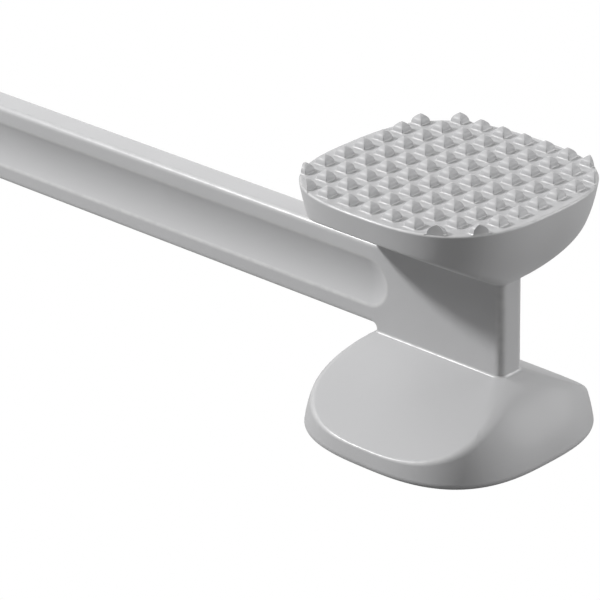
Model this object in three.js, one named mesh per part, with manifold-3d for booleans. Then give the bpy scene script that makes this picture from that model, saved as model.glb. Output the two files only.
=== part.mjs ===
// A double-headed meat mallet, cast in one piece of aluminium: a studded head and a smooth head
// on one neck, and a handle with a shallow channel along each side. The casting is divided at
// flat planes into the regions that its designer would name, and neighbours meet face to face.
// Lengths are in millimetres and angles in degrees. +X runs from the handle to the nose of the
// heads, +Z is up, and the origin is the middle of the smooth striking face.
import * as THREE from "three";
import { mergeVertices, toCreasedNormals } from "three/addons/utils/BufferGeometryUtils.js";
import Module from "manifold-3d";

const wasm = await Module();
wasm.setup();

// Both heads: a rounded square bowl, its bottom cut to a hipped roof that meets the neck
const headLength = 61.6; // along X, at the striking face
const headWidth = 60.2; // along Y
const outlineSquareness = 2.8; // 2 would be an ellipse, and a large number a sharp rectangle
const smoothDepth = 19.2; // from the seam with the neck to the smooth striking face
const studdedDepth = 20.1; // from the other seam to the face between the studs
const plateThickness = 4.6;
const wallDraft = 13; // how far the wall leans in from the striking face towards the seam
const faceEdgeRadius = 1.2;
const flareSlope = 30.6; // of the roof's sides, from the horizontal
const hipRadiusShare = 0.5; // growth of the hips' radius for each length that the roof widens
const noseStartPull = 3.6; // how strongly the bowl's nose sets off along the roof's slope
const noseFullness = 2.8; // past the seam: the level that the nose bulges towards

// Neck
const neckHeight = 22.6; // between the two seams
const thickness = 7.8; // of the neck and the handle alike
const neckNose = 18.4; // from the middle of the heads to the neck's front
const neckRear = 19.2; // from the middle of the heads to the neck's back
const neckNoseRadius = 2.1; // of the upright corners at the front
const seamFilletRadius = 0.8;
const neckFootDepth = 0.5; // the neck's solid runs this far past each seam

// Handle
const handleReach = 209; // from the middle of the heads to the rear end
const handleHeight = 20.3;
const handleDrop = 0.8; // from the upper seam down to the handle's top
const handleEdgeRadius = 1.3; // also of the neck's upright corners at the back
const neckStubLength = 5; // of handle that belongs to the neck's solid
const underFilletRadius = 1.1; // where the handle's underside meets the neck's back
const channelHeight = 11.7;
const channelDepth = 1.5;
const channelFrontReach = 15.4; // from the middle of the heads to the channel's front end
const channelRearGap = 5.5; // from the channel's rear end to the hanging hole
const hangingHoleDiameter = 9;
const handleEndLength = 24; // of the rear region, which holds the hanging hole

// Studs
const studPitch = 6.4;
const studsPerSide = 9; // a square field without its four corners
const studFoot = 4.1; // width of a stud's square foot
const studHeight = 2.1;
const studTip = 0.3; // width of the blunt tip
const studBase = 3.15; // width where the foot's flare ends
const studBaseHeight = 0.25;
const studShoulder = 2.9; // width where the bulging flank turns from steep to flatter
const studShoulderHeight = 0.9;
const studCrown = 1.6; // width where it turns once more, towards the tip
const studCrownHeight = 1.65;
const studRootShare = 1.25; // depth of a stud's solid below the face, of the face edge's radius
const studTrimInset = 0.05; // from the head's drafted wall to where the outer studs are cut off

// How finely curves are divided
const outlineSegments = 112;
const cornerSteps = 6;
const noseSteps = 12;
const filletSteps = 4;
const roundingSteps = 4;
const channelSegments = 96;
const channelEndSegments = 24;
const arcSegments = 9;

const overrun = 2; // of every cutting solid past what it cuts
const creaseAngle = 25;

const slope = THREE.MathUtils.degToRad(flareSlope);
const draft = THREE.MathUtils.degToRad(wallDraft);
const quarterTurn = Math.PI / 2;
const lowerSeam = smoothDepth;
const upperSeam = lowerSeam + neckHeight;
const handleTop = upperSeam - handleDrop;
const handleMiddle = handleTop - handleHeight / 2;
const handleBottom = handleTop - handleHeight;
const holeX = handleHeight / 2 - handleReach;
const stubPlane = -neckRear - neckStubLength;
const endPlane = handleEndLength - handleReach;
const studRoot = studRootShare * faceEdgeRadius;

// A closed geometry as a solid for joining and cutting.
function solidOf(geometry) {
  const bare = geometry.clone();
  bare.deleteAttribute("normal");
  bare.deleteAttribute("uv");
  const merged = mergeVertices(bare);
  const mesh = new wasm.Mesh({
    numProp: 3,
    vertProperties: merged.getAttribute("position").array,
    triVerts: new Uint32Array(merged.index.array),
  });
  return new wasm.Manifold(mesh);
}

// A solid as a geometry with smooth curves and sharp creases.
function geometryOf(solid) {
  const mesh = solid.getMesh();
  const geometry = new THREE.BufferGeometry();
  geometry.setAttribute("position", new THREE.BufferAttribute(mesh.vertProperties, 3));
  geometry.setIndex(new THREE.BufferAttribute(mesh.triVerts, 1));
  return toCreasedNormals(geometry, THREE.MathUtils.degToRad(creaseAngle));
}

// A profile of radii and heights turned about Z.
function turned(profile, segments) {
  const points = profile.map(([radius, height]) => new THREE.Vector2(radius, height));
  return new THREE.LatheGeometry(points, segments).rotateX(quarterTurn);
}

// A solid lofted through sections at rising levels. Every ring of a turned column of radius 1 is
// moved onto its section: pointAt takes the angle round the ring, the level and its number.
function lofted(levels, segments, pointAt) {
  const top = levels[levels.length - 1];
  const column = [[0, levels[0]], ...levels.map((level) => [1, level]), [0, top]];
  const geometry = turned(column, segments);
  const place = geometry.getAttribute("position");
  for (let i = 0; i < place.count; i++) {
    const number = (i % column.length) - 1;
    if (number < 0 || number >= levels.length) continue;
    const angle = Math.atan2(place.getY(i), place.getX(i));
    place.setXY(i, ...pointAt(angle, levels[number], number));
  }
  return solidOf(geometry);
}

// The point of a rounded square at an angle, from its half length and half width.
function squarePoint(angle, halfLength, halfWidth) {
  const along = Math.cos(angle);
  const across = Math.sin(angle);
  const power = Math.abs(along) ** outlineSquareness + Math.abs(across) ** outlineSquareness;
  const stretch = power ** (-1 / outlineSquareness);
  return [along * stretch * halfLength, across * stretch * halfWidth];
}

// Half the size of a drafted head at a distance past the seam, with the striking face's edge
// rounded.
function draftedReach(halfSize, depth, past) {
  const centre = depth - faceEdgeRadius;
  if (past <= roundingStart(depth)) return halfSize - (depth - past) * Math.tan(draft);
  const flatReach = halfSize - faceEdgeRadius * (Math.tan(draft) + 1 / Math.cos(draft));
  const height = Math.min(past - centre, faceEdgeRadius);
  return flatReach + Math.sqrt(faceEdgeRadius ** 2 - height ** 2);
}

// Where the rounding of the striking face's edge starts.
function roundingStart(depth) {
  return depth - faceEdgeRadius * (1 + Math.sin(draft));
}

// The bowl's outline at the nose, as points of reach and distance past the seam: it leaves the
// neck along the roof's slope and bends into the drafted wall.
function noseCurve(depth) {
  const wallPoint = (past) => new THREE.Vector2(draftedReach(headLength / 2, depth, past), past);
  const start = new THREE.Vector2(neckNose, 0);
  const pull = new THREE.Vector2(Math.cos(slope), Math.sin(slope)).multiplyScalar(noseStartPull);
  const curve = new THREE.CubicBezierCurve(
    start,
    pull.add(start),
    wallPoint(noseFullness),
    wallPoint(roundingStart(depth))
  );
  return curve.getPoints(noseSteps);
}

// The whole bowl of a head, from the seam to the striking face.
function headBowl(depth) {
  const rings = noseCurve(depth);
  for (let i = 1; i <= roundingSteps; i++) {
    const angle = THREE.MathUtils.lerp(-draft, quarterTurn, i / roundingSteps);
    const past = depth - faceEdgeRadius * (1 - Math.sin(angle));
    rings.push(new THREE.Vector2(draftedReach(headLength / 2, depth, past), past));
  }
  const levels = rings.map((ring) => ring.y);
  return lofted(levels, outlineSegments, (angle, past, index) =>
    squarePoint(angle, rings[index].x, draftedReach(headWidth / 2, depth, past))
  );
}

// How far the roof has widened at a distance past the seam: a small fillet, then a straight slope.
const filletStart = -seamFilletRadius * Math.tan((quarterTurn - slope) / 2);
const filletEnd = -filletStart * Math.sin(slope);
function widening(past) {
  if (past <= filletStart) return 0;
  if (past >= filletEnd) return past / Math.tan(slope);
  return seamFilletRadius - Math.sqrt(seamFilletRadius ** 2 - (past - filletStart) ** 2);
}

// The section of the neck and the hipped roof past the seam. Its ring of points is four corner
// arcs, and the straight sides lie between them.
const arcPoints = cornerSteps + 1;
const ringSegments = 4 * arcPoints;
function roofPoint(angle, past) {
  const turn = angle / (4 * quarterTurn);
  const step = (Math.round(turn * ringSegments) + ringSegments) % ringSegments;
  const corner = Math.floor(step / arcPoints);
  const cornerAngle = (corner + (step % arcPoints) / cornerSteps) * quarterTurn;
  const atFront = corner === 0 || corner === 3;
  const grown = widening(past);
  const radius = (atFront ? neckNoseRadius : handleEdgeRadius) + hipRadiusShare * grown;
  const rearReach = Math.max(neckRear, neckNose + grown);
  const centreX = atFront ? neckNose + grown - radius : radius - rearReach;
  const centreY = (thickness / 2 + grown - radius) * (corner < 2 ? 1 : -1);
  return [centreX + radius * Math.cos(cornerAngle), centreY + radius * Math.sin(cornerAngle)];
}

// The part of a bowl between two levels past the seam, with the roof cut into it.
function roofedRegion(bowl, from, to) {
  return lofted([from, to], ringSegments, roofPoint).intersect(bowl);
}

// One four-sided stud with bulging flanks, standing on the level 0.
function stud() {
  const toCorner = Math.SQRT2 / 2;
  const profile = [
    [0, -studRoot],
    [studFoot * toCorner, -studRoot],
    [studFoot * toCorner, 0],
    [studBase * toCorner, studBaseHeight],
    [studShoulder * toCorner, studShoulderHeight],
    [studCrown * toCorner, studCrownHeight],
    [studTip * toCorner, studHeight],
    [0, studHeight],
  ];
  return solidOf(turned(profile, 4).rotateZ(quarterTurn / 2));
}

// The field of studs, cut off flush with the head's drafted wall.
function studField() {
  const trimLevels = [-studRoot - overrun, studHeight + overrun];
  const trim = lofted(trimLevels, outlineSegments, (angle, level) => {
    const grown = level * Math.tan(draft) - studTrimInset;
    return squarePoint(angle, headLength / 2 + grown, headWidth / 2 + grown);
  });
  const oneStud = stud();
  const outermost = (studsPerSide - 1) / 2;
  const studs = [];
  for (let along = -outermost; along <= outermost; along++) {
    for (let across = -outermost; across <= outermost; across++) {
      const atCorner = Math.abs(along) === outermost && Math.abs(across) === outermost;
      if (!atCorner) studs.push(oneStud.translate(along * studPitch, across * studPitch, 0));
    }
  }
  return studs.reduce((field, each) => field.add(each)).intersect(trim);
}

// The handle seen from the side, extruded with rounded edges. It ends inside the neck.
function bar() {
  const inner = thickness - neckRear;
  const outline = new THREE.Shape();
  outline.moveTo(inner, handleTop);
  outline.lineTo(holeX, handleTop);
  outline.absarc(holeX, handleMiddle, handleHeight / 2, quarterTurn, 3 * quarterTurn, false);
  outline.lineTo(-neckRear - underFilletRadius, handleBottom);
  const filletCentre = [-neckRear - underFilletRadius, handleBottom - underFilletRadius];
  outline.absarc(...filletCentre, underFilletRadius, quarterTurn, 0, true);
  outline.lineTo(inner, handleBottom - underFilletRadius);
  const hole = new THREE.Path();
  hole.absarc(holeX, handleMiddle, hangingHoleDiameter / 2, 0, 4 * quarterTurn, true);
  outline.holes.push(hole);
  const flatDepth = thickness - 2 * handleEdgeRadius;
  const geometry = new THREE.ExtrudeGeometry(outline, {
    depth: flatDepth,
    bevelThickness: handleEdgeRadius,
    bevelSize: handleEdgeRadius,
    bevelOffset: -handleEdgeRadius,
    bevelSegments: roundingSteps,
    curveSegments: arcSegments,
  });
  return solidOf(geometry.translate(0, 0, -flatDepth / 2).rotateX(quarterTurn));
}

// The round-bottomed channels on both sides, each a capsule that dips into the side face.
function channels() {
  const halfChord = channelHeight / 2;
  const radius = (halfChord ** 2 + channelDepth ** 2) / (2 * channelDepth);
  const frontCentre = -channelFrontReach - halfChord;
  const rearCentre = holeX + hangingHoleDiameter / 2 + channelRearGap + halfChord;
  const length = frontCentre - rearCentre;
  const standOff = thickness / 2 + radius - channelDepth;
  const capsules = [standOff, -standOff].map((y) => {
    const capsule = new THREE.CapsuleGeometry(radius, length, channelEndSegments, channelSegments);
    capsule.rotateZ(quarterTurn).translate((frontCentre + rearCentre) / 2, y, handleMiddle);
    return solidOf(capsule);
  });
  return capsules[0].add(capsules[1]);
}

// A block between two X planes that is larger than the handle and the neck in Y and Z.
function slice(fromX, toX) {
  const height = upperSeam + studdedDepth;
  const block = new THREE.BoxGeometry(toX - fromX, headWidth, height);
  return solidOf(block.translate((fromX + toX) / 2, 0, height / 2));
}

const wholeBar = bar();
const bothChannels = channels();

// The region of the handle between two X planes, with its stretch of the channels.
function handleRegion(fromX, toX) {
  return wholeBar.intersect(slice(fromX, toX)).subtract(bothChannels);
}

// The neck with its feet past the seams, the stub of the handle and the channels' front ends.
function neck() {
  const foot = [neckFootDepth, filletEnd];
  for (let i = 1; i <= filletSteps; i++) {
    foot.push(THREE.MathUtils.lerp(filletEnd, filletStart, i / filletSteps));
  }
  const lower = foot.map((past) => lowerSeam - past);
  const upper = foot.map((past) => upperSeam + past).reverse();
  const web = lofted([...lower, ...upper], ringSegments, (angle, level) =>
    roofPoint(angle, Math.max(level - upperSeam, lowerSeam - level))
  );
  return web.add(wholeBar.intersect(slice(stubPlane, headLength))).subtract(bothChannels);
}

// A named mesh in cast aluminium.
function castPiece(name, solid) {
  const material = new THREE.MeshStandardMaterial({
    color: 0xb9babb,
    roughness: 0.42,
    metalness: 0.85,
  });
  const mesh = new THREE.Mesh(geometryOf(solid), material);
  mesh.name = name;
  return mesh;
}

const mallet = new THREE.Group();
mallet.add(
  castPiece("handle_end", handleRegion(-handleReach - overrun, endPlane)),
  castPiece("handle_shank", handleRegion(endPlane, stubPlane)),
  castPiece("neck", neck())
);

const studdedBowl = headBowl(studdedDepth);
const studdedFloor = studdedDepth - plateThickness;
const studdedPlate = roofedRegion(studdedBowl, studdedFloor, studdedDepth + overrun);
const studs = studField().translate(0, 0, studdedDepth);
const studdedHead = new THREE.Group();
studdedHead.position.z = upperSeam;
studdedHead.add(
  castPiece("studded_side_flare", roofedRegion(studdedBowl, neckFootDepth, studdedFloor)),
  castPiece("studded_face", studdedPlate.add(studs))
);
mallet.add(studdedHead);

const smoothBowl = headBowl(smoothDepth);
const smoothFloor = smoothDepth - plateThickness;
const smoothHead = new THREE.Group();
smoothHead.position.z = lowerSeam;
smoothHead.rotation.x = 2 * quarterTurn;
smoothHead.add(
  castPiece("smooth_side_flare", roofedRegion(smoothBowl, neckFootDepth, smoothFloor)),
  castPiece("smooth_face", roofedRegion(smoothBowl, smoothFloor, smoothDepth + overrun))
);
mallet.add(smoothHead);

export default mallet;
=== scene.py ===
"""A cast aluminium meat mallet, dressed for the studio.

The striking heads, the neck with its handle and the field of studs are modelled finely over the
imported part, in metres and in its frame: +X towards the nose of the heads, +Z up, and the origin
in the middle of the smooth striking face.
"""

import math

import bmesh
import bpy
from bpy.props import FloatProperty, FloatVectorProperty, IntProperty, PointerProperty
from bpy.types import Operator, Panel, PropertyGroup
from mathutils import Matrix, Vector


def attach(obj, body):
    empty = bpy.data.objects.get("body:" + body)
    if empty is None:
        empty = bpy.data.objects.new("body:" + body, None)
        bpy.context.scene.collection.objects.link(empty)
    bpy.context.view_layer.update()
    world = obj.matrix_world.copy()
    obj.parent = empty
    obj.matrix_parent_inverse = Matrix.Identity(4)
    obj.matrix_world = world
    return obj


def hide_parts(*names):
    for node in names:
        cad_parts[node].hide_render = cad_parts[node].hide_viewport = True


bl_info = {
    "name": "Cast Meat Mallet",
    "version": (1, 0, 0),
    "blender": (4, 5, 0),
    "location": "View3D > Sidebar > Mallet",
    "description": "Models a double-headed meat mallet in satin cast aluminium, with its stage",
    "category": "Object",
}

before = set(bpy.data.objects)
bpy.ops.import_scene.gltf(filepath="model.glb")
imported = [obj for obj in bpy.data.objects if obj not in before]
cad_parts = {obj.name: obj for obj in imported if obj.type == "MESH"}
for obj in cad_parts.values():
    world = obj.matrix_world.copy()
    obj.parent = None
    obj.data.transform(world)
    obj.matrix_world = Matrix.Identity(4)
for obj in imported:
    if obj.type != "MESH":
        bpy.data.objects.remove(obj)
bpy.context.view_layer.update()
BODY = "root"

QUARTER = math.pi / 2

# How finely curves are stepped
CORNER_STEPS = 18
SIDE_STEPS = 84
END_STEPS = 8
FILLET_STEPS = 8
CREASE_STEPS = 8
BOWL_STEPS = 22
ROUNDING_STEPS = 8
STUD_CORNER_STEPS = 3
STUD_FOOT_STEPS = 4
STUD_FLANK_STEPS = 10
HANDLE_END_STEPS = 48
CHANNEL_END_STEPS = 28
CHANNEL_RIM_STEPS = 8
HOLE_STEPS = 64
BISECTIONS = 40

# Rows between the curves, as shares of the way
ROOF_SHARES = (0.05, 0.2, 0.4, 0.6, 0.8, 0.95)
CHANNEL_SHARES = (0.94, 0.84, 0.72, 0.6, 0.48, 0.36, 0.24, 0.12, 0.03)
BAR_SHARES = (0.06, 0.94)
BOWL_FIRST_SHARE = 0.015
BOWL_LAST_SHARE = 0.99
CREASE_START_SHARE = 0.4

# How far a flat face runs on inside its rounded edge before it is filled, as a share of the
# edge's radius, and the same for a channel's mouth outside its soft rim
FACE_HOLD = 0.25
SIDE_HOLD = 0.2
MOUTH_HOLD = 0.5

# A crease's slant is measured over this share of the neck's foot, and is taken as no less than
# this on the roof and on the bowl
PROBE_SHARE = 0.1
ROOF_SLANT = 0.35
BOWL_SLANT = 0.5

# A stud's blunt tip: its shoulder's width and drop and its flat's width, as shares of the tip's
# width, and the most that a ridge's radius takes of half a stud's width
TIP_SHOULDER = 1.2
TIP_DROP = 0.2
TIP_FLAT = 0.6
RIDGE_LIMIT = 0.6

HEAD_SHARP_ANGLE = math.radians(35)
STUD_SHARP_ANGLE = math.radians(50)

# The casting's skin, with the scales of its noises in waves per metre
METAL_NAME = "tumbled_aluminium"
CLOUD_SCALE = 60
SPECK_SCALE = 900
GRAIN_SCALE = 2600
RUB_AND_HIGHLIGHT_SCALE = 450
SPECK_SHARE = 0.4
CLOUD_TONE = 0.03
CLOUD_GLOSS = 0.025
RUB_POLISH = 0.06
GRAIN_DISTANCE = 0.0001

# Where the noise that breaks up a rubbed edge and its painted highlight starts and is full, and
# the least it leaves
BREAKUP_START = 0.3
BREAKUP_FULL = 0.6
BREAKUP_LEAST = 0.35

FLOOR_HALF = 4
LIT_SPOT = (0, 0, 0.035)
LIGHT_DISTANCE = 1.5


class HeadSizes(PropertyGroup):
    """Both striking heads: a rounded bowl whose bottom is cut to a hipped roof"""

    length: FloatProperty(
        name="Length", description="Of the striking face", default=0.0608, unit="LENGTH"
    )
    width: FloatProperty(
        name="Width", description="Of the striking face", default=0.0595, unit="LENGTH"
    )
    squareness: FloatProperty(
        name="Squareness", description="2 is an ellipse, more is squarer", default=2.82
    )
    draft: FloatProperty(
        name="Wall draft",
        description="How far the wall leans in",
        default=math.radians(8),
        subtype="ANGLE",
    )
    smooth_edge: FloatProperty(
        name="Smooth edge radius",
        description="Rounding round the smooth face",
        default=0.0015,
        unit="LENGTH",
    )
    studded_edge: FloatProperty(
        name="Studded edge radius",
        description="Rounding round the studded face",
        default=0.0005,
        unit="LENGTH",
    )
    slope: FloatProperty(
        name="Roof slope",
        description="Of the roof's sides, from the horizontal",
        default=math.radians(29.6),
        subtype="ANGLE",
    )
    hip_growth: FloatProperty(
        name="Hip growth", description="Growth of the hips' radius", default=0.5
    )
    nose_pull: FloatProperty(
        name="Nose pull",
        description="How strongly the nose sets off along the roof",
        default=0.0016,
        unit="LENGTH",
    )
    nose_fullness: FloatProperty(
        name="Nose fullness",
        description="Level that the nose bulges towards",
        default=0.0056,
        unit="LENGTH",
    )
    wall_softness: FloatProperty(
        name="Crease at the wall",
        description="How far from the crease its rounding starts",
        default=0.0004,
        unit="LENGTH",
    )
    nose_softness: FloatProperty(
        name="Crease at the nose",
        description="How far from the crease its rounding starts",
        default=0.0021,
        unit="LENGTH",
    )
    smooth_depth: FloatProperty(
        name="Smooth depth",
        description="From the seam to the smooth face",
        default=0.0192,
        unit="LENGTH",
    )
    studded_depth: FloatProperty(
        name="Studded depth",
        description="From the seam to the studded face",
        default=0.0199,
        unit="LENGTH",
    )


class NeckSizes(PropertyGroup):
    """The upright web between the heads"""

    height: FloatProperty(
        name="Height", description="Between the seams", default=0.0226, unit="LENGTH"
    )
    thickness: FloatProperty(
        name="Thickness",
        description="Of the neck and the handle",
        default=0.0078,
        unit="LENGTH",
    )
    nose: FloatProperty(
        name="Nose", description="Reach to the front", default=0.0189, unit="LENGTH"
    )
    rear: FloatProperty(
        name="Rear", description="Reach to the back", default=0.0192, unit="LENGTH"
    )
    nose_radius: FloatProperty(
        name="Nose radius",
        description="Of the upright corners",
        default=0.0021,
        unit="LENGTH",
    )
    seam_fillet: FloatProperty(
        name="Seam fillet",
        description="Radius where a head meets the neck",
        default=0.0008,
        unit="LENGTH",
    )
    foot: FloatProperty(
        name="Foot",
        description="How far the neck shows past a seam",
        default=0.0005,
        unit="LENGTH",
    )
    collar: FloatProperty(
        name="Collar",
        description="How far a head's mesh runs up the neck",
        default=0.0006,
        unit="LENGTH",
    )


class HandleSizes(PropertyGroup):
    """The bar handle with a channel along each side"""

    reach: FloatProperty(
        name="Reach",
        description="From the heads' middle to the rear end",
        default=0.209,
        unit="LENGTH",
    )
    height: FloatProperty(
        name="Height", description="Of the bar", default=0.0203, unit="LENGTH"
    )
    drop: FloatProperty(
        name="Drop",
        description="From the upper seam to the handle's top",
        default=0.0008,
        unit="LENGTH",
    )
    edge: FloatProperty(
        name="Edge radius",
        description="Of the long edges",
        default=0.0013,
        unit="LENGTH",
    )
    under_fillet: FloatProperty(
        name="Under fillet",
        description="Where the underside meets the neck",
        default=0.0011,
        unit="LENGTH",
    )
    channel_height: FloatProperty(
        name="Channel height",
        description="Of the channel's mouth",
        default=0.0117,
        unit="LENGTH",
    )
    channel_depth: FloatProperty(
        name="Channel depth",
        description="Along its middle",
        default=0.0015,
        unit="LENGTH",
    )
    channel_front: FloatProperty(
        name="Channel front",
        description="From the heads' middle to its end",
        default=0.0154,
        unit="LENGTH",
    )
    channel_gap: FloatProperty(
        name="Channel gap",
        description="From its rear end to the hole",
        default=0.0055,
        unit="LENGTH",
    )
    channel_softness: FloatProperty(
        name="Channel softness",
        description="Half the width of its rounded rim",
        default=0.0006,
        unit="LENGTH",
    )
    hole: FloatProperty(
        name="Hanging hole", description="Its diameter", default=0.009, unit="LENGTH"
    )
    # Where the handle's edges start to get wear and a painted highlight; both grow towards the
    # heads, where the edge highlight falls
    wear_and_highlight_from: FloatProperty(
        name="Rubbed from",
        description="From the heads' middle to where the rubbed edges start",
        default=0.075,
        unit="LENGTH",
    )


class StudSizes(PropertyGroup):
    """The square field of studs without its four corners"""

    pitch: FloatProperty(
        name="Pitch", description="Between studs", default=0.0064, unit="LENGTH"
    )
    per_side: IntProperty(
        name="Per side", description="Studs along each side", default=9
    )
    foot: FloatProperty(
        name="Foot", description="Width of a stud's foot", default=0.0042, unit="LENGTH"
    )
    base: FloatProperty(
        name="Base",
        description="Width above the foot's fillet",
        default=0.0032,
        unit="LENGTH",
    )
    base_height: FloatProperty(
        name="Base height",
        description="Where the foot's fillet ends",
        default=0.00032,
        unit="LENGTH",
    )
    base_lean: FloatProperty(
        name="Base lean",
        description="Of the flanks above the foot, from upright",
        default=math.radians(6),
        subtype="ANGLE",
    )
    point_lean: FloatProperty(
        name="Point lean",
        description="Of the flanks at the tip, from upright",
        default=math.radians(56),
        subtype="ANGLE",
    )
    bulge: FloatProperty(
        name="Bulge", description="How full the flanks are, from 0 to 1", default=0.8
    )
    tip: FloatProperty(
        name="Tip", description="Width of the blunt tip", default=0.0003, unit="LENGTH"
    )
    height: FloatProperty(
        name="Height", description="Of a stud", default=0.0023, unit="LENGTH"
    )
    ridge: FloatProperty(
        name="Ridge radius",
        description="Rounding of the ridges",
        default=0.0002,
        unit="LENGTH",
    )
    root: FloatProperty(
        name="Root",
        description="How deep a stud starts below the face",
        default=0.0007,
        unit="LENGTH",
    )
    trim: FloatProperty(
        name="Trim",
        description="How far inside the wall the studs at the rim are cut",
        default=0.00035,
        unit="LENGTH",
    )
    trim_lean: FloatProperty(
        name="Trim lean",
        description="How far that cut leans in above the face",
        default=math.radians(8),
        subtype="ANGLE",
    )


class FinishSettings(PropertyGroup):
    """The satin skin of the casting"""

    tone: FloatVectorProperty(
        name="Metal",
        description="Colour of the bare metal",
        default=(0.60, 0.60, 0.605),
        subtype="COLOR",
        size=3,
    )
    # A lighter tone along rubbed edges: partly wear, partly a painted highlight on creases,
    # seams, stud feet and the handle's edge
    worn_and_highlighted_tone: FloatVectorProperty(
        name="Worn metal",
        description="Colour along rubbed edges",
        default=(0.64, 0.64, 0.64),
        subtype="COLOR",
        size=3,
    )
    roughness: FloatProperty(
        name="Roughness", description="Of the matt skin", default=0.9
    )
    metallic: FloatProperty(
        name="Metallic", description="How metallic the skin looks", default=1.0
    )
    sheen: FloatProperty(
        name="Sheen", description="Strength of the soft gloss over the skin", default=0.15
    )
    # More coat along the rubbed and highlighted edges
    rubbed_and_highlight_sheen: FloatProperty(
        name="Rubbed sheen", description="The same along rubbed edges", default=0.62
    )
    sheen_roughness: FloatProperty(
        name="Sheen roughness", description="How soft that gloss is", default=0.26
    )
    grain_depth: FloatProperty(
        name="Grain", description="Strength of the fine cast grain", default=0.06
    )


class StageSettings(PropertyGroup):
    """Camera, lights and floor"""

    azimuth: FloatProperty(
        name="Azimuth",
        description="Camera's turn about Z",
        default=0.7702053,
        subtype="ANGLE",
    )
    elevation: FloatProperty(
        name="Elevation",
        description="Above the horizon",
        default=0.4348776,
        subtype="ANGLE",
    )
    roll: FloatProperty(
        name="Roll",
        description="Camera's tilt to the side",
        default=-0.0193663,
        subtype="ANGLE",
    )
    distance: FloatProperty(
        name="Distance",
        description="From the studs' middle, along the view",
        default=0.789888,
        unit="LENGTH",
    )
    aim: FloatVectorProperty(
        name="Aim",
        description="How far left and down of the frame's middle the studs' middle lies",
        default=(0.0328856, 0.0295445),
        subtype="XYZ",
        size=2,
        unit="LENGTH",
    )
    lens: FloatProperty(
        name="Lens", description="Focal length in millimetres", default=214.383
    )
    key_power: FloatProperty(
        name="Key", description="Power of the small key light in watts", default=20.0
    )
    soft_power: FloatProperty(
        name="Soft key",
        description="Power of the softer light beside the key in watts",
        default=3.4,
    )
    rear_power: FloatProperty(
        name="Rear",
        description="Power of the low light behind the nose in watts",
        default=15.5,
    )
    back_power: FloatProperty(
        name="Back",
        description="Power of the low light on the far side in watts",
        default=4.2,
    )
    upper_power: FloatProperty(
        name="Upper",
        description="Power of the high light above the handle in watts",
        default=4.9,
    )
    far_power: FloatProperty(
        name="Far",
        description="Power of the high light above the far side in watts",
        default=4.1,
    )
    near_power: FloatProperty(
        name="Near",
        description="Power of the low light on the near side in watts",
        default=2.6,
    )
    dome: FloatProperty(
        name="Dome", description="Strength of the light all round", default=0.132
    )
    bounce: FloatProperty(
        name="Bounce",
        description="Share of its light that the floor throws back up",
        default=0.25,
    )
    floor_tone: FloatVectorProperty(
        name="Floor",
        description="Colour of the floor",
        default=(1.0, 1.0, 1.0),
        subtype="COLOR",
        size=3,
    )


class MalletSettings(PropertyGroup):
    """Every size and colour of the mallet and its stage"""

    head: PointerProperty(type=HeadSizes)
    neck: PointerProperty(type=NeckSizes)
    handle: PointerProperty(type=HandleSizes)
    studs: PointerProperty(type=StudSizes)
    finish: PointerProperty(type=FinishSettings)
    stage: PointerProperty(type=StageSettings)


def lerp(start, end, share):
    return start + (end - start) * share


def quadratic(a, b, c, share):
    """A point on the quadratic curve from a, drawn towards b, to c."""
    rest = 1 - share
    return a * rest**2 + b * (2 * rest * share) + c * share**2


def cubic(a, b, c, d, share):
    """A point on the cubic curve from a, drawn towards b and c, to d."""
    rest = 1 - share
    return a * rest**3 + b * (3 * rest**2 * share) + c * (3 * rest * share**2) + d * share**3


def last_inside(inside, low, high):
    """Where the stretch from low towards high on which inside holds ends."""
    for _ in range(BISECTIONS):
        middle = (low + high) / 2
        if inside(middle):
            low = middle
        else:
            high = middle
    return (low + high) / 2


def lower_seam(settings):
    return settings.head.smooth_depth


def upper_seam(settings):
    return settings.head.smooth_depth + settings.neck.height


def square_point(squareness, turn, half_length, half_width):
    """The point of a rounded square at an angle."""
    along, across = math.cos(turn), math.sin(turn)
    power = abs(along) ** squareness + abs(across) ** squareness
    stretch = power ** (-1 / squareness)
    return along * stretch * half_length, across * stretch * half_width


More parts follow.
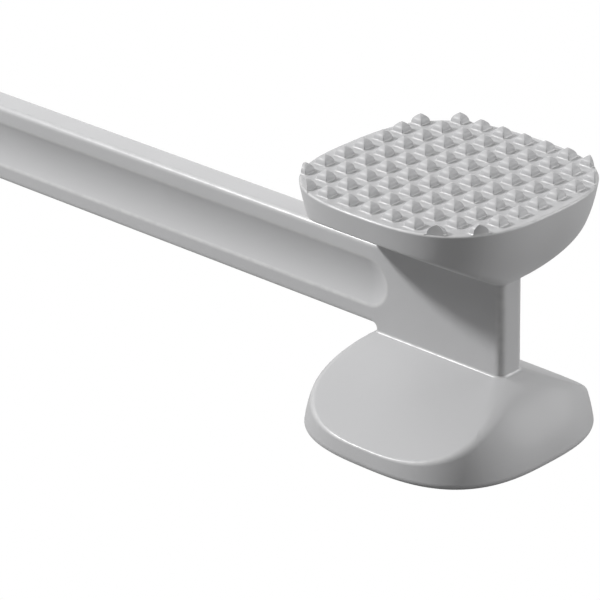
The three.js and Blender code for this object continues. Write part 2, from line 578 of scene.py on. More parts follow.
class Bowl:
    """The rounded outside of a head, from its seam to its striking face."""

    def __init__(self, settings, depth, edge):
        head, neck = settings.head, settings.neck
        self.head = head
        self.depth = depth
        self.edge = edge
        self.half_length = head.length / 2
        self.half_width = head.width / 2
        self.rounding_start = depth - edge * (1 + math.sin(head.draft))
        pull = Vector((math.cos(head.slope), math.sin(head.slope))) * head.nose_pull
        start = Vector((neck.nose, 0))
        self.nose = (
            start,
            start + pull,
            Vector((self.wall(self.half_length, head.nose_fullness), head.nose_fullness)),
            Vector((self.wall(self.half_length, self.rounding_start), self.rounding_start)),
        )

    def wall(self, half_size, past):
        """Half the drafted wall's size at a distance past the seam."""
        return half_size - (self.depth - past) * math.tan(self.head.draft)

    def nose_point(self, share):
        """Reach and distance past the seam on the nose's curve."""
        return cubic(*self.nose, share)

    def share_at(self, past):
        """Share of the nose's curve at a distance past the seam."""
        return last_inside(lambda share: self.nose_point(share).y < past, 0.0, 1.0)

    def reach(self, past):
        """Half the length and half the width at a distance past the seam."""
        length = self.nose_point(self.share_at(past)).x
        return length, self.wall(self.half_width, past)

    def outside(self, x, y, past):
        """Above zero outside the bowl and below zero inside."""
        length, width = self.reach(past)
        power = self.head.squareness
        return (abs(x) / length) ** power + (abs(y) / width) ** power - 1

    def turn_at(self, x, y, past):
        """The angle round the bowl of a place at a distance past the seam."""
        length, width = self.reach(past)
        return math.atan2(y / width, x / length)

    def point(self, turn, past):
        """The point of the bowl at an angle and a distance past the seam."""
        x, y = square_point(self.head.squareness, turn, *self.reach(past))
        return Vector((x, y, past))

    def point_on_nose_row(self, turn, share):
        """The same for the ring through a share of the nose's curve."""
        row = self.nose_point(share)
        width = self.wall(self.half_width, row.y)
        x, y = square_point(self.head.squareness, turn, row.x, width)
        return Vector((x, y, row.y))

    def rounded_point(self, turn, lean, inset=0.0):
        """A point on the striking face's rounded edge, by the lean of its normal."""
        edge = self.edge
        past = self.depth - edge * (1 - math.sin(lean))
        less = edge * (math.tan(self.head.draft) + 1 / math.cos(self.head.draft))
        reach = edge * math.cos(lean) - less - inset
        x, y = square_point(
            self.head.squareness, turn, self.half_length + reach, self.half_width + reach
        )
        return Vector((x, y, past))


class Roof:
    """The neck's section and the hipped roof that it widens to past the seam."""

    def __init__(self, settings):
        self.settings = settings
        radius = settings.neck.seam_fillet
        self.turn = QUARTER - settings.head.slope
        self.fillet_start = -radius * math.tan(self.turn / 2)
        self.fillet_end = self.fillet_start + radius * math.sin(self.turn)
        self.stations = []
        for corner in range(4):
            for step in range(CORNER_STEPS):
                angle = (corner + step / CORNER_STEPS) * QUARTER
                self.stations.append((corner, corner, angle, 0.0))
            angle = (corner + 1) * QUARTER
            steps = END_STEPS if corner % 2 else SIDE_STEPS
            for step in range(steps):
                share = (1 - math.cos(math.pi * step / steps)) / 2
                self.stations.append((corner, (corner + 1) % 4, angle, share))

    def widening(self, past):
        """How much wider the roof is than the neck at a distance past the seam."""
        radius = self.settings.neck.seam_fillet
        if past <= self.fillet_start:
            return 0.0
        if past >= self.fillet_end:
            return past / math.tan(self.settings.head.slope)
        return radius - math.sqrt(radius**2 - (past - self.fillet_start) ** 2)

    def corner_point(self, corner, angle, past):
        """A point on one of the four rounded hips, counted from the front of the +Y side."""
        neck = self.settings.neck
        grown = self.widening(past)
        at_front = corner in (0, 3)
        radius = neck.nose_radius if at_front else self.settings.handle.edge
        radius += self.settings.head.hip_growth * grown
        rear_reach = max(neck.rear, neck.nose + grown)
        x = neck.nose + grown - radius if at_front else radius - rear_reach
        y = (neck.thickness / 2 + grown - radius) * (1 if corner < 2 else -1)
        x += radius * math.cos(angle)
        y += radius * math.sin(angle)
        return Vector((x, y, past))

    def point(self, station, past):
        """The point of the roof at a station, which is a place on a hip or between two."""
        first, second, angle, share = station
        start = self.corner_point(first, angle, past)
        if first == second:
            return start
        return start.lerp(self.corner_point(second, angle, past), share)


def ring_edges(bm, ring):
    return [bm.edges.get((ring[i - 1], ring[i])) for i in range(len(ring))]


def next_ring(bm, ring, points):
    """Extrudes a closed ring of vertices and puts the new ring on the points."""
    made = bmesh.ops.extrude_edge_only(bm, edges=ring_edges(bm, ring))["geom"]
    fresh = {item for item in made if isinstance(item, bmesh.types.BMVert)}
    new_ring = []
    for vert, point in zip(ring, points):
        twin = next(
            edge.other_vert(vert)
            for edge in vert.link_edges
            if edge.other_vert(vert) in fresh
        )
        twin.co = point
        new_ring.append(twin)
    return new_ring


def first_ring(bm, points):
    """A closed ring of vertices on the points."""
    made = bmesh.ops.create_circle(bm, cap_ends=False, radius=1, segments=len(points))
    ring = sorted(made["verts"], key=lambda v: math.atan2(v.co.y, v.co.x) % math.tau)
    for vert, point in zip(ring, points):
        vert.co = point
    return ring


def cap_ring(bm, ring):
    bmesh.ops.edgeloop_fill(bm, edges=ring_edges(bm, ring))


# Marks a ring for wear and painted highlight
def set_wear_and_highlight(wear_and_highlight, ring, worn_and_highlighted):
    for vert in ring:
        vert[wear_and_highlight] = worn_and_highlighted


def finished_object(bm, name, sharp_angle=HEAD_SHARP_ANGLE):
    """The bmesh as an object, shaded smooth up to the angle."""
    bmesh.ops.recalc_face_normals(bm, faces=bm.faces)
    mesh = bpy.data.meshes.new(name)
    bm.to_mesh(mesh)
    bm.free()
    mesh.polygons.foreach_set("use_smooth", [True] * len(mesh.polygons))
    mesh.set_sharp_from_angle(angle=sharp_angle)
    piece = bpy.data.objects.new(name, mesh)
    bpy.context.scene.collection.objects.link(piece)
    return piece


def dress(piece, finish, *nodes):
    """Gives a piece its metal and its body, and hides the nodes that it stands for."""
    piece.data.materials.append(tumbled_aluminium(finish))
    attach(piece, BODY)
    if nodes:
        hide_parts(*nodes)


def crease_line(bowl, roof, start):
    """Where the roof meets the bowl, for each station: the distance past the seam, which is
    start or more, the angle round the bowl and the point."""
    levels, turns, points = [], [], []
    for station in roof.stations:

        def inside(past):
            return bowl.outside(*roof.point(station, past).xy, past) < 0

        level = last_inside(inside, start, bowl.depth) if inside(start) else start
        place = roof.point(station, level)
        levels.append(level)
        turns.append(bowl.turn_at(place.x, place.y, level))
        points.append(bowl.point(turns[-1], level))
    return levels, turns, points


def head_columns(settings, depth, edge, rim_wear_and_highlight):
    """A head as columns of points, each with its wear and painted highlight, from its collar on
    the neck to its striking face. edge is the radius round that face, and the last argument how
    far its rim is rubbed and given a painted highlight."""
    head, neck = settings.head, settings.neck
    bowl, roof = Bowl(settings, depth, edge), Roof(settings)
    levels, turns, crease = crease_line(bowl, roof, neck.foot)
    count = len(roof.stations)
    probe = neck.foot * PROBE_SHARE
    columns = []
    for i, station in enumerate(roof.stations):
        level, turn = levels[i], turns[i]
        column = [(roof.point(station, -neck.collar), 0.0)]
        # The seam's fillet is marked worn most in its middle, which paints a highlight line along
        # the seam
        for step in range(FILLET_STEPS + 1):
            lean = roof.turn * step / FILLET_STEPS
            past = roof.fillet_start + neck.seam_fillet * math.sin(lean)
            column.append((roof.point(station, past), math.sin(math.pi * step / FILLET_STEPS)))

        along = (crease[(i + 1) % count] - crease[i - 1]).normalized()
        up = (roof.point(station, level) - roof.point(station, level - probe)) / probe
        down = (bowl.point(turn, level + probe) - crease[i]) / probe
        nose_share = math.cos(turn) ** 2
        soft = lerp(head.wall_softness, head.nose_softness, nose_share)
        up_reach = max(up.normalized().cross(along).length, ROOF_SLANT) * up.length
        down_reach = max(down.normalized().cross(along).length, BOWL_SLANT) * down.length
        upper = max(
            level - soft / up_reach, lerp(roof.fillet_end, level, CREASE_START_SHARE)
        )
        lower = min(level + soft / down_reach, bowl.rounding_start - soft)
        for share in ROOF_SHARES:
            past = lerp(roof.fillet_end, upper, share)
            column.append((roof.point(station, past), 0.0))
        begin, end = roof.point(station, upper), bowl.point(turn, lower)
        for step in range(CREASE_STEPS + 1):
            share = step / CREASE_STEPS
            # The crease gets wear and a painted highlight on the long sides, where the key's
            # highlight falls, and none towards the nose and the rear
            worn_and_highlighted = (1 - nose_share) * math.sin(math.pi * share)
            column.append((quadratic(begin, crease[i], end, share), worn_and_highlighted))

        first_share = bowl.share_at(lower)
        shares = [BOWL_FIRST_SHARE]
        shares += [step / (BOWL_STEPS + 1) for step in range(1, BOWL_STEPS + 1)]
        for share in (*shares, BOWL_LAST_SHARE):
            spot = bowl.point_on_nose_row(turn, lerp(first_share, 1.0, share))
            column.append((spot, 0.0))
        for step in range(ROUNDING_STEPS + 1):
            lean = lerp(-head.draft, QUARTER, step / ROUNDING_STEPS)
            # The rim's rounding gets wear and a painted highlight, most in its middle; none on
            # the smooth head
            worn_and_highlighted = rim_wear_and_highlight * math.sin(math.pi * step / ROUNDING_STEPS)
            column.append((bowl.rounded_point(turn, lean), worn_and_highlighted))
        column.append((bowl.rounded_point(turn, QUARTER, edge * FACE_HOLD), 0.0))
        columns.append(column)
    return columns


def head_mesh(columns, seam, direction):
    """A closed head from its columns, past the seam's height in the direction 1 or -1."""
    bm = bmesh.new()
    wear_and_highlight = bm.verts.layers.float.new("wear_and_highlight")
    rows = [
        [(Vector((spot.x, spot.y, seam + direction * spot.z)), worn_and_highlighted) for spot, worn_and_highlighted in row]
        for row in zip(*columns)
    ]
    ring = first_ring(bm, [spot for spot, _ in rows[0]])
    cap_ring(bm, ring)
    for row in rows[1:]:
        ring = next_ring(bm, ring, [spot for spot, _ in row])
        for vert, (_, worn_and_highlighted) in zip(ring, row):
            vert[wear_and_highlight] = worn_and_highlighted
    cap_ring(bm, ring)
    return bm


def stud_profile(studs):
    """Heights and half widths of a stud, from its root to its tip, with the wear and painted
    highlight of its foot's fillet and its tip.
    """
    foot, base, tip = studs.foot / 2, studs.base / 2, studs.tip / 2
    grown = base + studs.base_height * math.tan(studs.base_lean)
    rows = [(-studs.root, foot, 0.0), (0.0, foot, 0.0)]
    for step in range(1, STUD_FOOT_STEPS + 1):
        share = step / STUD_FOOT_STEPS
        half = quadratic(foot, grown, base, share)
        # The foot's fillet is marked worn, which paints the highlight line round the stud's foot
        rows.append((studs.base_height * share**2, half, 1.0 if share < 1 else 0.0))
    low, high = Vector((studs.base_height, base)), Vector((studs.height, tip))
    base_fall, point_fall = math.tan(studs.base_lean), math.tan(studs.point_lean)
    corner_height = (high.y - low.y + point_fall * high.x - base_fall * low.x) / (
        point_fall - base_fall
    )
    corner = Vector((corner_height, base - (corner_height - low.x) * base_fall))
    first, second = low.lerp(corner, studs.bulge), high.lerp(corner, studs.bulge)
    for step in range(1, STUD_FLANK_STEPS):
        spot = cubic(low, first, second, high, step / STUD_FLANK_STEPS)
        rows.append((spot.x, spot.y, 0.0))
    # The blunt tip is marked worn, with a painted highlight
    rows.append((studs.height - studs.tip * TIP_DROP, tip * TIP_SHOULDER, 1.0))
    rows.append((studs.height, tip * TIP_FLAT, 1.0))
    return rows


def stud_ring(half, ridge):
    """A square ring with rounded corners."""
    radius = min(ridge, half * RIDGE_LIMIT)
    points = []
    for corner in range(4):
        for step in range(STUD_CORNER_STEPS + 1):
            angle = (corner + step / STUD_CORNER_STEPS) * QUARTER
            x = (half - radius) * (1 if corner in (0, 3) else -1) + radius * math.cos(angle)
            y = (half - radius) * (1 if corner < 2 else -1) + radius * math.sin(angle)
            points.append((x, y))
    return points


def stud_mesh(studs):
    """One stud, standing on the height 0."""
    bm = bmesh.new()
    wear_and_highlight = bm.verts.layers.float.new("wear_and_highlight")
    rows = stud_profile(studs)
    height, half, _ = rows[0]
    ring = first_ring(bm, [Vector((x, y, height)) for x, y in stud_ring(half, studs.ridge)])
    cap_ring(bm, ring)
    for height, half, worn_and_highlighted in rows[1:]:
        points = [Vector((x, y, height)) for x, y in stud_ring(half, studs.ridge)]
        ring = next_ring(bm, ring, points)
        set_wear_and_highlight(wear_and_highlight, ring, worn_and_highlighted)
    cap_ring(bm, ring)
    bmesh.ops.recalc_face_normals(bm, faces=bm.faces)
    mesh = bpy.data.meshes.new("one_stud")
    bm.to_mesh(mesh)
    bm.free()
    return mesh


def cut_off(bm, verts, place, normal):
    """Cuts away what lies past a plane and closes the cut."""
    edges = {edge for vert in verts for edge in vert.link_edges}
    faces = {face for vert in verts for face in vert.link_faces}
    made = bmesh.ops.bisect_plane(
        bm,
        geom=list(verts) + list(edges) + list(faces),
        plane_co=place,
        plane_no=normal,
        clear_outer=True,
    )
    cut = [item for item in made["geom_cut"] if isinstance(item, bmesh.types.BMEdge)]
    if cut:
        bmesh.ops.edgeloop_fill(bm, edges=cut)


def trim_stud(bm, known, x, y, settings, floor):
    """Cuts a stud at the rim off, flush with the drafted wall below and leaning in above. The
    stud is every vertex that isn't known."""
    head, studs = settings.head, settings.studs
    power = head.squareness
    half_length, half_width = head.length / 2, head.width / 2
    turn = math.atan2(y / half_width, x / half_length)
    edge_x, edge_y = square_point(power, turn, half_length, half_width)
    out = Vector(
        (
            math.copysign(abs(edge_x / half_length) ** (power - 1) / half_length, edge_x),
            math.copysign(abs(edge_y / half_width) ** (power - 1) / half_width, edge_y),
            0,
        )
    ).normalized()
    edge = Vector((edge_x, edge_y, floor))
    for lean, inset in ((-head.draft, 0.0), (studs.trim_lean, studs.trim)):
        verts = [vert for vert in bm.verts if vert not in known]
        normal = out * math.cos(lean) + Vector((0, 0, math.sin(lean)))
        cut_off(bm, verts, edge - out * inset, normal)


def stud_field_mesh(settings):
    """All studs, on the height of the studded face."""
    studs = settings.studs
    floor = upper_seam(settings) + settings.head.studded_depth
    one = stud_mesh(studs)
    bm = bmesh.new()
    outermost = (studs.per_side - 1) / 2
    for row in range(studs.per_side):
        for column in range(studs.per_side):
            along, across = row - outermost, column - outermost
            if abs(along) == outermost and abs(across) == outermost:
                continue
            known = set(bm.verts)
            bm.from_mesh(one)
            verts = [vert for vert in bm.verts if vert not in known]
            x, y = along * studs.pitch, across * studs.pitch
            bmesh.ops.translate(bm, verts=verts, vec=Vector((x, y, floor)))
            trim_stud(bm, known, x, y, settings, floor)
    bpy.data.meshes.remove(one)
    return bm


def bar_outline(settings):
    """The neck and the handle seen from the side: points of x and z, each with the step to the
    edge of its flat side face for a rounding of radius 1, and the radius there."""
    neck, handle = settings.neck, settings.handle
    top = upper_seam(settings) - handle.drop
    middle = top - handle.height / 2
    bottom = top - handle.height
    web_bottom = lower_seam(settings) + neck.collar
    web_top = upper_seam(settings) - neck.collar
    hole_x = handle.height / 2 - handle.reach
    points = [
        (neck.nose, web_bottom, -1, 0, neck.nose_radius),
        (neck.nose, web_top, -1, 0, neck.nose_radius),
        (-neck.rear, web_top, 1, 0, handle.edge),
        (-neck.rear, top, 1, -1, handle.edge),
    ]
    for step in range(HANDLE_END_STEPS + 1):
        angle = QUARTER + math.pi * step / HANDLE_END_STEPS
        along, up = math.cos(angle), math.sin(angle)
        x = hole_x + handle.height / 2 * along
        z = middle + handle.height / 2 * up
        points.append((x, z, -along, -up, handle.edge))
    centre_x = -neck.rear - handle.under_fillet
    centre_z = bottom - handle.under_fillet
    last = math.asin((web_bottom - centre_z) / handle.under_fillet)
    for step in range(FILLET_STEPS + 1):
        angle = lerp(QUARTER, last, step / FILLET_STEPS)
        along, up = math.cos(angle), math.sin(angle)
        x = centre_x + handle.under_fillet * along
        z = centre_z + handle.under_fillet * up
        points.append((x, z, along, up if step < FILLET_STEPS else 0, handle.edge))
    return points


def bar_ring(points, side, rounding, thickness, inset=0.0):
    """The outline's ring at a share of the edge rounding, on the side -1 or 1 of the bar."""
    ring = []
    for x, z, step_x, step_z, radius in points:
        out = radius * math.sin(rounding)
        offset = radius * (1 - math.cos(rounding)) + inset
        y = side * (thickness / 2 - radius + out)
        ring.append(Vector((x + step_x * offset, y, z + step_z * offset)))
    return ring


def channel_rows(handle):
    """Distances from the channel's spine, depths and wear with a painted highlight, from the side
    face to the middle.
    """
    half = handle.channel_height / 2
    radius = (half**2 + handle.channel_depth**2) / (2 * handle.channel_depth)
    soft = handle.channel_softness

    def depth(reach):
        return math.sqrt(radius**2 - reach**2) - (radius - handle.channel_depth)

    rows = [(half + soft * (1 + MOUTH_HOLD), 0.0, 0.0)]
    for step in range(CHANNEL_RIM_STEPS + 1):
        share = step / CHANNEL_RIM_STEPS
        reach = quadratic(half + soft, half, half - soft, share)
        # The channel's soft rim is marked worn, with a painted highlight, most in its middle
        rows.append((reach, depth(half - soft) * share**2, math.sin(math.pi * share)))
    for share in CHANNEL_SHARES:
        reach = (half - soft) * share
        rows.append((reach, depth(reach), 0.0))
    return rows


def stadium(front, rear, reach, middle, y):
    """A ring round a straight spine along X, at a distance from it."""
    ring = []
    for x, first in ((front, -QUARTER), (rear, QUARTER)):
        for step in range(CHANNEL_END_STEPS + 1):
            angle = first + math.pi * step / CHANNEL_END_STEPS
            along, up = reach * math.cos(angle), reach * math.sin(angle)
            ring.append(Vector((x + along, y, middle + up)))
    return ring


def edge_wear_and_highlight(step):
    """How far a rounded edge is rubbed and given a painted highlight at a step of its rounding:
    most in the middle.
    """
    return math.sin(math.pi * step / ROUNDING_STEPS)


def bar_shell(bm, wear_and_highlight, settings, hold):
    """The band round the bar with its rounded edges. Gives the rings that bound its flat sides,
    which lie inside the edges by hold."""
    neck, handle = settings.neck, settings.handle
    outline = bar_outline(settings)

    def edge_row(side, step):
        rounding = QUARTER * step / ROUNDING_STEPS
        return bar_ring(outline, side, rounding, neck.thickness), edge_wear_and_highlight(step)

    steps = range(ROUNDING_STEPS + 1)
    near_rows = [edge_row(-1, step) for step in reversed(steps)]
    far_rows = [edge_row(1, step) for step in steps]
    pairs = list(zip(near_rows[-1][0], far_rows[0][0]))
    between = [([a.lerp(b, share) for a, b in pairs], 0.0) for share in BAR_SHARES]
    far_flat = (bar_ring(outline, 1, QUARTER, neck.thickness, hold), 0.0)
    near = ring = first_ring(bm, bar_ring(outline, -1, QUARTER, neck.thickness, hold))
    for points, worn_and_highlighted in (*near_rows, *between, *far_rows, far_flat):
        ring = next_ring(bm, ring, points)
        # The handle's wear and painted highlight fade out away from the heads, where the edge
        # highlight stops
        for vert in ring:
            nearness = (vert.co.x + handle.wear_and_highlight_from) / (handle.wear_and_highlight_from - neck.rear)
            vert[wear_and_highlight] = worn_and_highlighted * min(1.0, max(0.0, nearness))
    return near, ring


def channel(bm, wear_and_highlight, settings, side, middle, hole_x):
    """The channel in one side of the handle. Gives the ring round its mouth."""
    handle = settings.handle
    half = settings.neck.thickness / 2
    front = -handle.channel_front - handle.channel_height / 2
    rear = hole_x + handle.hole / 2 + handle.channel_gap + handle.channel_height / 2
    (reach, depth, _), *rows = channel_rows(handle)
    mouth = ring = first_ring(bm, stadium(front, rear, reach, middle, side * (half - depth)))
    for reach, depth, worn_and_highlighted in rows:
        ring = next_ring(bm, ring, stadium(front, rear, reach, middle, side * (half - depth)))
        set_wear_and_highlight(wear_and_highlight, ring, worn_and_highlighted)
    cap_ring(bm, ring)
    return mouth


def hanging_hole(bm, wear_and_highlight, settings, middle, hole_x, hold):
    """The wall of the hanging hole with its rounded edges. Gives its two outer rings."""
    handle = settings.handle
    half = settings.neck.thickness / 2

    def hole_ring(side, step, inset=0.0):
        rounding = QUARTER * step / ROUNDING_STEPS
        reach = handle.hole / 2 + handle.edge * (1 - math.cos(rounding)) + inset
        y = side * (half - handle.edge + handle.edge * math.sin(rounding))
        return [
            Vector((hole_x + reach * math.cos(a), y, middle + reach * math.sin(a)))
            for a in (math.tau * i / HOLE_STEPS for i in range(HOLE_STEPS))
        ]

    near = ring = first_ring(bm, hole_ring(-1, ROUNDING_STEPS, hold))
    steps = range(ROUNDING_STEPS + 1)
    for side, order in ((-1, reversed(steps)), (1, steps)):
        for step in order:
            ring = next_ring(bm, ring, hole_ring(side, step))
            set_wear_and_highlight(wear_and_highlight, ring, edge_wear_and_highlight(step))
    return near, next_ring(bm, ring, hole_ring(1, ROUNDING_STEPS, hold))


def bar_mesh(settings):
    """The neck and the handle in one, with the channels and the hanging hole."""
    handle = settings.handle
    middle = upper_seam(settings) - handle.drop - handle.height / 2
    hole_x = handle.height / 2 - handle.reach
    hold = handle.edge * SIDE_HOLD
    bm = bmesh.new()
    wear_and_highlight = bm.verts.layers.float.new("wear_and_highlight")
    edges = bar_shell(bm, wear_and_highlight, settings, hold)
    mouths = [channel(bm, wear_and_highlight, settings, side, middle, hole_x) for side in (-1, 1)]
    holes = hanging_hole(bm, wear_and_highlight, settings, middle, hole_x, hold)
    for side, rings in zip((-1, 1), zip(edges, mouths, holes)):
        bmesh.ops.triangle_fill(
            bm,
            use_beauty=True,
            use_dissolve=False,
            edges=[edge for ring in rings for edge in ring_edges(bm, ring)],
            normal=Vector((0, side, 0)),
        )
    return bm


def value_group(name, inputs, outputs):
    """An empty node group with named inputs and outputs, and its two end nodes."""
    group = bpy.data.node_groups.new(name, "ShaderNodeTree")
    for label, kind, default in inputs:
        socket = group.interface.new_socket(name=label, in_out="INPUT", socket_type=kind)
        socket.default_value = default
    for label, kind in outputs:
        group.interface.new_socket(name=label, in_out="OUTPUT", socket_type=kind)
    start = group.nodes.new("NodeGroupInput")
    end = group.nodes.new("NodeGroupOutput")
    return group, start, end


def noise_in(group, scale, detail, roughness=0.5):
    noise = group.nodes.new("ShaderNodeTexNoise")
    noise.inputs["Scale"].default_value = scale
    noise.inputs["Detail"].default_value = detail
    noise.inputs["Roughness"].default_value = roughness
    return noise


def tumbled_skin_group():
    """Slow clouds of tone and gloss, as tumbling leaves on a casting, and a fine grain."""
    group, start, end = value_group(
        "tumbled_skin",
        [("Position", "NodeSocketVector", (0, 0, 0))],
        [("Cloud", "NodeSocketFloat"), ("Grain", "NodeSocketFloat")],
    )
    broad = noise_in(group, CLOUD_SCALE, 3)
    fine = noise_in(group, GRAIN_SCALE, 4, 0.6)
    speck = noise_in(group, SPECK_SCALE, 2)
    join = group.nodes.new("ShaderNodeMath")
    join.operation = "MULTIPLY_ADD"
    join.inputs[1].default_value = SPECK_SHARE
    for noise in (broad, fine, speck):
        group.links.new(start.outputs["Position"], noise.inputs["Vector"])
    group.links.new(speck.outputs["Fac"], join.inputs[0])
    group.links.new(fine.outputs["Fac"], join.inputs[2])
    group.links.new(broad.outputs["Fac"], end.inputs["Cloud"])
    group.links.new(join.outputs["Value"], end.inputs["Grain"])
    return group


def rubbed_edge_and_highlight_group():
    """How far an edge is rubbed and carries a painted highlight: the wear drawn on the mesh,
    broken up by a noise.
    """
    group, start, end = value_group(
        "rubbed_edge_and_highlight",
        [("Position", "NodeSocketVector", (0, 0, 0)), ("Wear and Highlight", "NodeSocketFloat", 0.0)],
        [("Rub and Highlight", "NodeSocketFloat")],
    )
    noise = noise_in(group, RUB_AND_HIGHLIGHT_SCALE, 3, 0.6)
    breakup = group.nodes.new("ShaderNodeMapRange")
    breakup.inputs["From Min"].default_value = BREAKUP_START
    breakup.inputs["From Max"].default_value = BREAKUP_FULL
    breakup.inputs["To Min"].default_value = BREAKUP_LEAST
    times = group.nodes.new("ShaderNodeMath")
    times.operation = "MULTIPLY"
    times.use_clamp = True
    group.links.new(start.outputs["Position"], noise.inputs["Vector"])
    group.links.new(noise.outputs["Fac"], breakup.inputs["Value"])
    group.links.new(breakup.outputs["Result"], times.inputs[0])
    group.links.new(start.outputs["Wear and Highlight"], times.inputs[1])
    group.links.new(times.outputs["Value"], end.inputs["Rub and Highlight"])
    return group


def tumbled_aluminium(finish):
    """Satin cast aluminium: clouded tone and gloss, rubbed edges lightened as wear and painted
    highlight, and a fine grain. Built once.
    """
    material = bpy.data.materials.get(METAL_NAME)
    if material:
        return material
    material = bpy.data.materials.new(METAL_NAME)
    material.use_nodes = True
    nodes, links = material.node_tree.nodes, material.node_tree.links
    shader = nodes["Principled BSDF"]
    shader.inputs["Metallic"].default_value = finish.metallic
    shader.inputs["Coat Roughness"].default_value = finish.sheen_roughness
    place = nodes.new("ShaderNodeTexCoord")
    wear_and_highlight = nodes.new("ShaderNodeAttribute")
    wear_and_highlight.attribute_name = "wear_and_highlight"
    skin = nodes.new("ShaderNodeGroup")
    skin.node_tree = tumbled_skin_group()
    edges = nodes.new("ShaderNodeGroup")
    edges.node_tree = rubbed_edge_and_highlight_group()
    links.new(place.outputs["Object"], skin.inputs["Position"])
    links.new(place.outputs["Object"], edges.inputs["Position"])
    links.new(wear_and_highlight.outputs["Fac"], edges.inputs["Wear and Highlight"])

    cloud = nodes.new("ShaderNodeMix")
    cloud.data_type = "RGBA"
    tone = Vector(finish.tone)
    cloud.inputs["A"].default_value = (*(tone * (1 - CLOUD_TONE)), 1)
    cloud.inputs["B"].default_value = (*(tone * (1 + CLOUD_TONE)), 1)
    links.new(skin.outputs["Cloud"], cloud.inputs["Factor"])
    # Lighter worn tone along the rubbed edges: partly wear, partly a painted highlight
    bright = nodes.new("ShaderNodeMix")
    bright.data_type = "RGBA"
    bright.inputs["B"].default_value = (*finish.worn_and_highlighted_tone, 1)
    links.new(edges.outputs["Rub and Highlight"], bright.inputs["Factor"])
    links.new(cloud.outputs["Result"], bright.inputs["A"])
    links.new(bright.outputs["Result"], shader.inputs["Base Color"])

    gloss = nodes.new("ShaderNodeMapRange")
    gloss.inputs["To Min"].default_value = finish.roughness - CLOUD_GLOSS
    gloss.inputs["To Max"].default_value = finish.roughness + CLOUD_GLOSS
    links.new(skin.outputs["Cloud"], gloss.inputs["Value"])
    polish = nodes.new("ShaderNodeMath")
    polish.operation = "MULTIPLY_ADD"
    polish.inputs[1].default_value = -RUB_POLISH
    links.new(edges.outputs["Rub and Highlight"], polish.inputs[0])
    links.new(gloss.outputs["Result"], polish.inputs[2])
    links.new(polish.outputs["Value"], shader.inputs["Roughness"])

    # More coat along the rubbed and highlighted edges
    sheen = nodes.new("ShaderNodeMapRange")
    sheen.inputs["To Min"].default_value = finish.sheen
    sheen.inputs["To Max"].default_value = finish.rubbed_and_highlight_sheen
    links.new(edges.outputs["Rub and Highlight"], sheen.inputs["Value"])
    links.new(sheen.outputs["Result"], shader.inputs["Coat Weight"])

    bump = nodes.new("ShaderNodeBump")
    bump.inputs["Strength"].default_value = finish.grain_depth
    bump.inputs["Distance"].default_value = GRAIN_DISTANCE
    links.new(skin.outputs["Grain"], bump.inputs["Height"])
    links.new(bump.outputs["Normal"], shader.inputs["Normal"])
    return material


class MALLET_OT_smooth_head(Operator):
    """Model the lower head with the smooth striking face"""

    bl_idname = "mallet.smooth_head"
    bl_label = "Smooth Head"

    def execute(self, context):
        settings = context.scene.mallet
        head = settings.head
        columns = head_columns(settings, head.smooth_depth, head.smooth_edge, 0.0)
        bm = head_mesh(columns, lower_seam(settings), -1)
        piece = finished_object(bm, "smooth_head")
        dress(piece, settings.finish, "smooth_face", "smooth_side_flare")
        return {"FINISHED"}


class MALLET_OT_studded_head(Operator):
    """Model the upper head without its studs"""

    bl_idname = "mallet.studded_head"
    bl_label = "Studded Head"

    def execute(self, context):
        settings = context.scene.mallet
        head = settings.head
        columns = head_columns(settings, head.studded_depth, head.studded_edge, 1.0)
        bm = head_mesh(columns, upper_seam(settings), 1)
        piece = finished_object(bm, "studded_head")
        dress(piece, settings.finish, "studded_face", "studded_side_flare")
        return {"FINISHED"}


class MALLET_OT_stud_field(Operator):
    """Model the field of pointed studs"""

    bl_idname = "mallet.stud_field"
    bl_label = "Stud Field"

    def execute(self, context):
        settings = context.scene.mallet
        piece = finished_object(stud_field_mesh(settings), "stud_field", STUD_SHARP_ANGLE)
        dress(piece, settings.finish)
        return {"FINISHED"}


class MALLET_OT_neck_and_handle(Operator):
    """Model the neck and the handle with its channels and its hanging hole"""

    bl_idname = "mallet.neck_and_handle"
    bl_label = "Neck and Handle"

    def execute(self, context):
        settings = context.scene.mallet
        piece = finished_object(bar_mesh(settings), "neck_and_handle")
        dress(piece, settings.finish, "neck", "handle_shank", "handle_end")
        return {"FINISHED"}


def area_light(name, power, size, turned, height):
    """A round light that faces the heads from an angle about Z and a height above the horizon."""
    light = bpy.data.lights.new(name, "AREA")
    light.shape = "DISK"
    light.size = size
    light.energy = power
    lamp = bpy.data.objects.new(name, light)
    level = math.cos(height)
    direction = Vector((level * math.cos(turned), level * math.sin(turned), math.sin(height)))
    lamp.location = Vector(LIT_SPOT) + direction * LIGHT_DISTANCE
    lamp.rotation_euler = direction.to_track_quat("Z", "Y").to_euler()
    bpy.context.scene.collection.objects.link(lamp)


def show_camera(tree, output, seen, other):
    """Shows the camera the shader seen, and all other rays the other one."""
    ray = tree.nodes.new("ShaderNodeLightPath")
    mix = tree.nodes.new("ShaderNodeMixShader")
    tree.links.new(ray.outputs["Is Camera Ray"], mix.inputs["Fac"])
    tree.links.new(other.outputs[0], mix.inputs[1])
    tree.links.new(seen.outputs[0], mix.inputs[2])
    tree.links.new(mix.outputs["Shader"], output.inputs["Surface"])


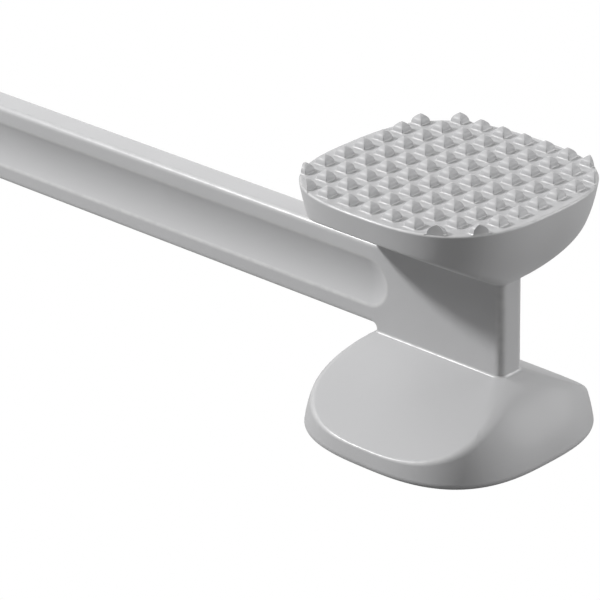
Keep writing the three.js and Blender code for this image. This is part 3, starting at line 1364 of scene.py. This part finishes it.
def lay_floor(stage):
    """A wide pale floor that throws a share of its light back up."""
    bm = bmesh.new()
    bmesh.ops.create_grid(bm, x_segments=8, y_segments=8, size=FLOOR_HALF)
    mesh = bpy.data.meshes.new("floor")
    bm.to_mesh(mesh)
    bm.free()
    floor = bpy.data.objects.new("floor", mesh)
    bpy.context.scene.collection.objects.link(floor)
    material = bpy.data.materials.new("pale_floor")
    material.use_nodes = True
    tree = material.node_tree
    tree.nodes.clear()
    output = tree.nodes.new("ShaderNodeOutputMaterial")
    seen = tree.nodes.new("ShaderNodeEmission")
    bounce = tree.nodes.new("ShaderNodeBsdfDiffuse")
    seen.inputs["Color"].default_value = (*stage.floor_tone, 1)
    bounce.inputs["Color"].default_value = (*(stage.bounce * Vector(stage.floor_tone)), 1)
    show_camera(tree, output, seen, bounce)
    floor.data.materials.append(material)


def wrap_in_dome(stage):
    """A white background to the camera, and a soft light all round to the mallet."""
    world = bpy.data.worlds.new("studio")
    bpy.context.scene.world = world
    world.use_nodes = True
    tree = world.node_tree
    tree.nodes.clear()
    output = tree.nodes.new("ShaderNodeOutputWorld")
    dome = tree.nodes.new("ShaderNodeBackground")
    white = tree.nodes.new("ShaderNodeBackground")
    for background, strength in ((dome, stage.dome), (white, 1)):
        background.inputs["Color"].default_value = (1, 1, 1, 1)
        background.inputs["Strength"].default_value = strength
    show_camera(tree, output, white, dome)


def hang_lights(stage):
    """Every light by its power, its width in metres, and its turn and height in degrees."""
    for name, power, size, turned, height in (
        ("key", stage.key_power, 0.14, 219.5, 36.8),
        ("soft_key", stage.soft_power, 0.4, 235, 40),
        ("rear", stage.rear_power, 0.9, 45, 14),
        ("back", stage.back_power, 0.9, 135, 14),
        ("upper", stage.upper_power, 0.9, 180, 52),
        ("far", stage.far_power, 0.9, 60, 52),
        ("near", stage.near_power, 0.9, 270, 14),
    ):
        area_light(name, power, size, math.radians(turned), math.radians(height))


def place_camera(settings):
    """The camera at its angle round the middle of the studs' tips."""
    stage = settings.stage
    turn = (
        Matrix.Rotation(stage.azimuth, 3, "Z")
        @ Matrix.Rotation(QUARTER - stage.elevation, 3, "X")
        @ Matrix.Rotation(stage.roll, 3, "Z")
    )
    tips = upper_seam(settings) + settings.head.studded_depth + settings.studs.height
    offset = turn @ Vector((-stage.aim[0], -stage.aim[1], stage.distance))
    lens = bpy.data.cameras.new("camera")
    lens.lens = stage.lens
    lens.clip_start = 0.01
    camera = bpy.data.objects.new("camera", lens)
    camera.location = Vector((0, 0, tips)) + offset
    camera.rotation_euler = turn.to_euler()
    bpy.context.scene.collection.objects.link(camera)
    bpy.context.scene.camera = camera


class MALLET_OT_stage(Operator):
    """Set the pale floor, the lights and the camera"""

    bl_idname = "mallet.stage"
    bl_label = "Stage"

    def execute(self, context):
        settings = context.scene.mallet
        context.scene.view_settings.view_transform = "Standard"
        lay_floor(settings.stage)
        wrap_in_dome(settings.stage)
        hang_lights(settings.stage)
        place_camera(settings)
        return {"FINISHED"}


class MALLET_PT_sidebar(Panel):
    """Lists the mallet's pieces and sizes"""

    bl_idname = "MALLET_PT_sidebar"
    bl_label = "Mallet"
    bl_space_type = "VIEW_3D"
    bl_region_type = "UI"
    bl_category = "Mallet"

    def draw(self, context):
        settings = context.scene.mallet
        for operator in OPERATORS:
            self.layout.operator(operator.bl_idname)
        for part in ("head", "neck", "handle", "studs", "finish", "stage"):
            box = self.layout.box()
            box.label(text=part.capitalize())
            group = getattr(settings, part)
            for key in group.bl_rna.properties.keys():
                if key not in ("rna_type", "name"):
                    box.prop(group, key)


OPERATORS = (
    MALLET_OT_smooth_head,
    MALLET_OT_studded_head,
    MALLET_OT_stud_field,
    MALLET_OT_neck_and_handle,
    MALLET_OT_stage,
)
CLASSES = (
    HeadSizes,
    NeckSizes,
    HandleSizes,
    StudSizes,
    FinishSettings,
    StageSettings,
    MalletSettings,
    *OPERATORS,
    MALLET_PT_sidebar,
)


def register():
    for item in CLASSES:
        bpy.utils.register_class(item)
    bpy.types.Scene.mallet = PointerProperty(type=MalletSettings)


def unregister():
    del bpy.types.Scene.mallet
    for item in reversed(CLASSES):
        bpy.utils.unregister_class(item)


def main():
    register()
    bpy.ops.mallet.stage()
    bpy.ops.mallet.smooth_head()
    bpy.ops.mallet.studded_head()
    bpy.ops.mallet.stud_field()
    bpy.ops.mallet.neck_and_handle()


if __name__ == "__main__":
    main()
